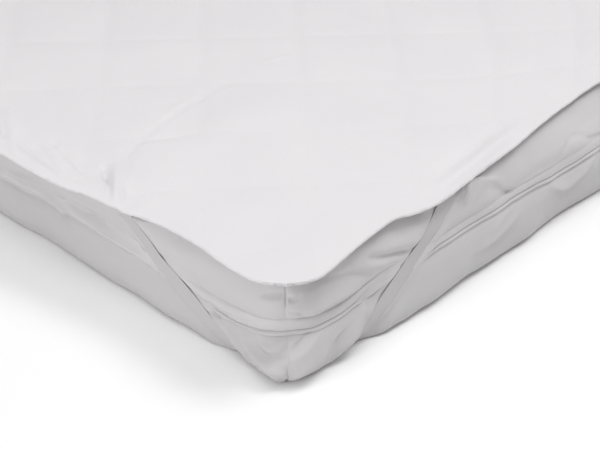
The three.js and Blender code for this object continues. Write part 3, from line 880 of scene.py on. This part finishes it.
def hug(points, plain, s, z):
    """Draws the cover to the straps. The surface without its folds, plain, is carried along a
    strap's normal to lie press_depth under the tape's middle, or press_rise higher beside it. The
    share of this fades sideways from carry_flat over carry_fade, wider where the strap slants off
    near the top, and is less in the pockets and past carry_gap. The folds go along, calmed close
    to the strap. A soft maximum, the log of 1 plus an exponential, keeps all under the tape."""
    shape = points.shape[:2]
    points, plain = points.reshape(-1, 3), plain.reshape(-1, 3)
    _, t = corner_distances(s)
    loose = 0
    for along, height, size_along, size_height, most in zip(*pockets.values()):
        place = ((t - along) / size_along) ** 2 + ((z - height) / size_height) ** 2
        loose = np.maximum(loose, most * np.exp(-place))
    for centre, across, normal in tape:
        low, high = centre.min(axis=0) - hug_margin, centre.max(axis=0) + hug_margin
        near = np.flatnonzero(((plain > low) & (plain < high)).all(axis=1))
        held, creased, flat = (1 - loose).ravel()[near], points[near], plain[near]
        step = np.argmin(((flat[:, None] - centre) ** 2).sum(axis=-1), axis=1)

        def from_tape(place):
            """Distances sideways from the tape's middle line, and outwards from it."""
            away = place - centre[step]
            return np.abs((away * across[step]).sum(axis=-1)), (away * normal[step]).sum(axis=-1)

        sideways, depth = from_tape(flat)
        gap = press_rise * ease((sideways - press_flat) / press_fade) - press_depth - depth
        reach = carry_fade + carry_slant * np.maximum(gap, 0) * ease((flat[:, 2] - 90) / 15)
        share = (1 - ease((sideways - carry_flat) / reach)) * held * (depth > -carry_depth)
        share = share * np.where(gap > 0, 1 - ease((gap - carry_gap) / carry_gap_fade), 1)
        calm = calm_share * (1 - ease((sideways - calm_flat) / calm_fade)) * held
        calm = (calm * (np.abs(depth) < calm_depth))[:, None]
        moved = creased - (creased - flat) * calm + normal[step] * (gap * share)[:, None]
        sideways, depth = from_tape(moved)
        over = depth + cap_depth - np.maximum(sideways - cap_flat, 0)
        over = np.where(depth > -calm_depth, over, -9)
        cap = np.logaddexp(0, over / cap_soft) * cap_soft
        points[near] = moved - normal[step] * cap[:, None]
    points[:, 2] = np.maximum(points[:, 2], 0)
    return points.reshape(*shape, 3)


# Grid of the cover: its pitch along the wall by the near corner, and by the distance from any
# other, its pitch up the wall, and how far in the rings of its underside and its top lie
near_pitch = columns(
    "place pitch",
    (-1200, 18), (-800, 18), (-620, 10), (-540, 3.4), (-60, 3), (-14, 1.6), (-3, 0.8), (3, 0.8),
    (14, 1.6), (60, 3), (620, 3.4), (700, 12), (1000, 18),
)
other_pitch = columns(
    "place pitch", (0, 1.4), (4, 1.4), (14, 3), (60, 5), (260, 6), (330, 18)
)
level_pitch = columns("place pitch", (0, 1.3), (12, 1.6), (20, 2.2), (150, 2.2), (180, 4))
below_inset = [140, 110, 85, 66, 55, 47, 40, 34, 29, 24, 19, 15, 12]
above_inset = [44, 60, 90, 140]

fine_s = np.linspace(-wall_round / 2, wall_round / 2, 40001)
to_other = np.abs(corner_distances(fine_s)[0][1:]).min(axis=0)
wall_pitch = np.minimum(
    np.interp(fine_s, *near_pitch.values()), np.interp(to_other, *other_pitch.values())
)
wall_s = spaced(-wall_round / 2, wall_round / 2, fine_s, wall_pitch)[:-1]
wall_profile["run"] = run_length(np.stack([wall_profile["height"], wall_profile["inset"]], -1))
levels = spaced(0, wall_profile["run"][-1], *level_pitch.values())
flat_rings = (len(below_inset), len(above_inset))
level_height, level_inset, level_corner = (
    np.pad(read(wall_profile, levels, column, "run"), flat_rings, "edge")
    for column in ("height", "inset", "corner")
)
level_inset[:flat_rings[0]], level_inset[-flat_rings[1]:] = below_inset, above_inset


def cover_points(s, height, inset, corner):
    """The cover's grid: the profile's rings, raised with the band's wave, moved out by cover_push
    on the wall and by the bottom swell, leant in where the cloth is short, clefted at the corner
    seam, lifted at the notches, drawn to the straps, and kept strap_gap under the cloth."""
    s, height, inset, corner = np.broadcast_arrays(
        s[None, :], height[:, None], inset[:, None], corner[:, None]
    )
    x, y, out_x, out_y = wall(s, inset, corner)
    upper, lower = band_lines(s)
    wave = (upper + lower - piping_width) / 2 - band_middle
    z = height + wave * np.clip(1 - np.abs(height - band_middle) / wave_pull, 0, 1)
    on_wall = ease(height / 6) * ease((138 - height) / 10)
    short = np.maximum(-read(right_edge, np.abs(s) + corner_cut, "out"), 0) * (s > 0)
    lean = lean_share * short * ease((height - 72) / 66) * (1 - ease((inset - 20) / 100))
    _, t = corner_distances(s)
    cleft = cleft_depth * bell(t - cleft_place, cleft_width) * ease(1 - height / cleft_top)
    push = cover_push(s, z) * on_wall + bottom_swell(s, height, inset) - lean - cleft
    x, y = x + out_x * push, y + out_y * push
    notch = sum(rise * bell(t - along, width) for along, width, rise in zip(*notches.values()))
    z = z + notch * ease((20 - z) / 20) * ease((30 - inset) / 22)
    points = np.stack([x, y, z], -1)
    plain = points - (cover_push(s, z) * on_wall)[..., None] * np.stack([out_x, out_y, 0 * s], -1)
    points = hug(points, plain, s, z)
    x, y = points[..., 0], points[..., 1]
    crease = np.minimum(folds_at(x, y, cloth_creases), 0)
    cloth = mattress_height + rest_gap - sag_at(x, y) + crease
    points[..., 2] = np.minimum(points[..., 2], cloth - strap_gap)
    return points


points = cover_points(wall_s, level_height, level_inset, level_corner).reshape(-1, 3)
rings, around = len(level_height), len(wall_s)
faces = grid_faces(rings, around, closed=True).tolist()
first, last = np.arange(around), np.arange(around) + (rings - 1) * around
base_centre, top_centre = rings * around, rings * around + 1
faces += np.stack([np.full(around, base_centre), np.roll(first, -1), first], -1).tolist()
faces += np.stack([np.full(around, top_centre), last, np.roll(last, -1)], -1).tolist()
mattress = make_piece(
    "mattress_cover", np.concatenate([points, [[0, 0, 0], [0, 0, mattress_height]]]), faces
)


def smooth_cover(name, dark, light):
    """Smooth knitted cover cloth: a fine knit under a faint sheen, with slow clouds of tone, and
    painted shade that makes it a little darker below the band."""
    n = Nodes(name)
    colour = n.blend(n.noise(7, 4), dark, light)
    height = n.add("ShaderNodeSeparateXYZ", Vector=n.place()).outputs[2]
    # Painted shade: the colour darkens towards black by up to 8 %, from 75 mm down to 45 mm above
    # the floor
    low = n.add(
        "ShaderNodeMapRange", {"interpolation_type": "SMOOTHSTEP"},
        Value=height, From_Min=0.075, From_Max=0.045,
    )
    colour = n.blend(n.math("MULTIPLY", low.outputs[0], 0.08), colour, (0, 0, 0, 1))
    soft = n.bump(n.noise(45, 3), 0.0012, 0.3)
    knit = n.math("MULTIPLY_ADD", n.noise(700, 2), 0.6, n.weave(0.0009))
    return n.finish(
        Base_Color=colour, Roughness=0.62, Sheen_Weight=0.15, Sheen_Roughness=0.4,
        Specular_IOR_Level=0.35, Normal=n.bump(knit, 0.0001, 0.35, Normal=soft),
    )


cover_dark, cover_light = (0.575, 0.565, 0.565, 1), (0.605, 0.595, 0.595, 1)
mattress.data.materials.append(smooth_cover("grey white cover", cover_dark, cover_light))
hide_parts("mattress")
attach(mattress, "root")


# Seam band: a strip of the cover cloth sewn between the two halves, with a narrow piped seam
# along its lower edge. It runs all round the mattress in one ring.

# Height in shares of the strip above its lower seam line, or of the piping below it
band_section = columns(
    "height out",
    (1, -2.4), (0.95, 0), (0.85, 1.3), (0.6, 2.1), (0.3, 2.0), (0.08, 1.1), (0, -0.7),
    (-0.16, 1.2), (-0.45, 2.2), (-0.75, 1.4), (-0.95, -1), (-1, -2.6),
)
band_back = -2.9
ripple_height, ripple_length, ripple_slow = 0.25, 9.0, 41.0


def band_ring():
    """The band's section carried round the wall: each point stands out by its row, more or less
    as the band shows, with a ripple of two sines, and lies at its share of the way between the
    band's lines. The inner side closes the ring."""
    row = {"row": np.arange(len(band_section["out"])), **band_section}
    fine = np.linspace(0, len(row["row"]) - 1, 48)
    out, share = read(row, fine, "out", "row"), read(row, fine, "height", "row")
    out, share = np.append(out, [band_back, band_back]), np.append(share, [-1.0, 1.0])
    s, out, share = np.broadcast_arrays(wall_s[:, None], out[None], share[None])
    upper, lower = band_lines(s)
    z = lower + share * np.where(share > 0, upper - lower, piping_width)
    x, y, out_x, out_y = wall(s, 0.0, wall_corner)
    face = np.clip((out + 2.4) / 2, 0, 1)
    ripple = ripple_height * np.sin(s / ripple_length) * np.sin(s / ripple_slow)
    show = read(band_show, corner_distances(s)[0][0], "share")
    plain = np.where(out > -1.5, out * show, out)
    push = plain + (ripple + cover_push(s, z)) * face
    points = np.stack([x + out_x * push, y + out_y * push, z], -1)
    plain = np.stack([x + out_x * plain, y + out_y * plain, z], -1)
    return hug(points, plain, s, z).reshape(-1, 3), points.shape[:2]


points, (around, section_count) = band_ring()
faces = grid_faces(around + 1, section_count, closed=True) % (around * section_count)
band = make_piece("seam_band", points, faces[:, ::-1].tolist())
band_dark, band_light = (0.61, 0.6, 0.605, 1), (0.64, 0.63, 0.635, 1)
band.data.materials.append(smooth_cover("grey white band", band_dark, band_light))
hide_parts("cover_band")
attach(band, "root")


# Studio: a plain white floor and white surroundings, a soft light high over the long side, a wide
# one low in front of the foot end, a weak one over the near corner, and a low one from the head
# end that brings out the quilting. The camera looks down on the near corner through a long lens.

floor_reach, floor_drop = 9000.0, 0.3
floor_corners = np.array([[-1, -1, 0], [1, -1, 0], [1, 1, 0], [-1, 1, 0]]) * floor_reach
floor = make_piece("floor", floor_corners - np.array([0, 0, floor_drop]), [[0, 1, 2, 3]])
n = Nodes("white floor")
floor_tone = n.blend(n.noise(2, 2), (0.93, 0.93, 0.93, 1), (0.95, 0.95, 0.95, 1))
floor.data.materials.append(n.finish(Base_Color=floor_tone, Roughness=0.9, Specular_IOR_Level=0.1))

world = bpy.data.worlds.new("studio")
world.use_nodes = True
background = world.node_tree.nodes["Background"].inputs
background["Color"].default_value, background["Strength"].default_value = (1, 1, 1, 1), 0.42
bpy.context.scene.world = world


def aimed(holder, place, way):
    """Puts a lamp or the camera at place, looking along way."""
    turn = Vector(way).to_track_quat("-Z", "Y")
    holder.matrix_world = Matrix.LocRotScale(Vector(place), turn, None)
    bpy.context.scene.collection.objects.link(holder)


def area_light(name, place, aim, size, power, colour=(1, 0.99, 1)):
    """A square lamp at place, turned to aim: its size in metres and its power in watts."""
    lamp = bpy.data.lights.new(name, "AREA")
    lamp.shape, lamp.size, lamp.energy, lamp.color = "SQUARE", size, power, colour
    aimed(bpy.data.objects.new(name, lamp), place, Vector(aim) - Vector(place))


area_light("key", (1.30, 0.47, 3.08), (0.3, -0.7, 0.1), 1.3, 41, (1, 0.995, 1))
area_light("fill", (0.05, -4.9, 1.7), (0.2, -0.8, 0.1), 2.4, 61)
area_light("overhead", (0.6, -1.6, 2.5), (0.45, -1.3, 0.0), 1.6, 19)
area_light("back", (0.3, 4.5, 1.6), (0.2, -0.5, 0.15), 1.4, 56)

camera_data = bpy.data.cameras.new("camera")
camera_data.lens, camera_data.sensor_width = 111.42, 36.0
camera_data.clip_start, camera_data.clip_end = 0.05, 60.0
camera = bpy.data.objects.new("camera", camera_data)
aimed(camera, (1.6123, -2.1688, 1.2735), (-0.58812, 0.60147, -0.54070))
bpy.context.scene.camera = camera
bpy.context.scene.view_settings.view_transform = "Standard"
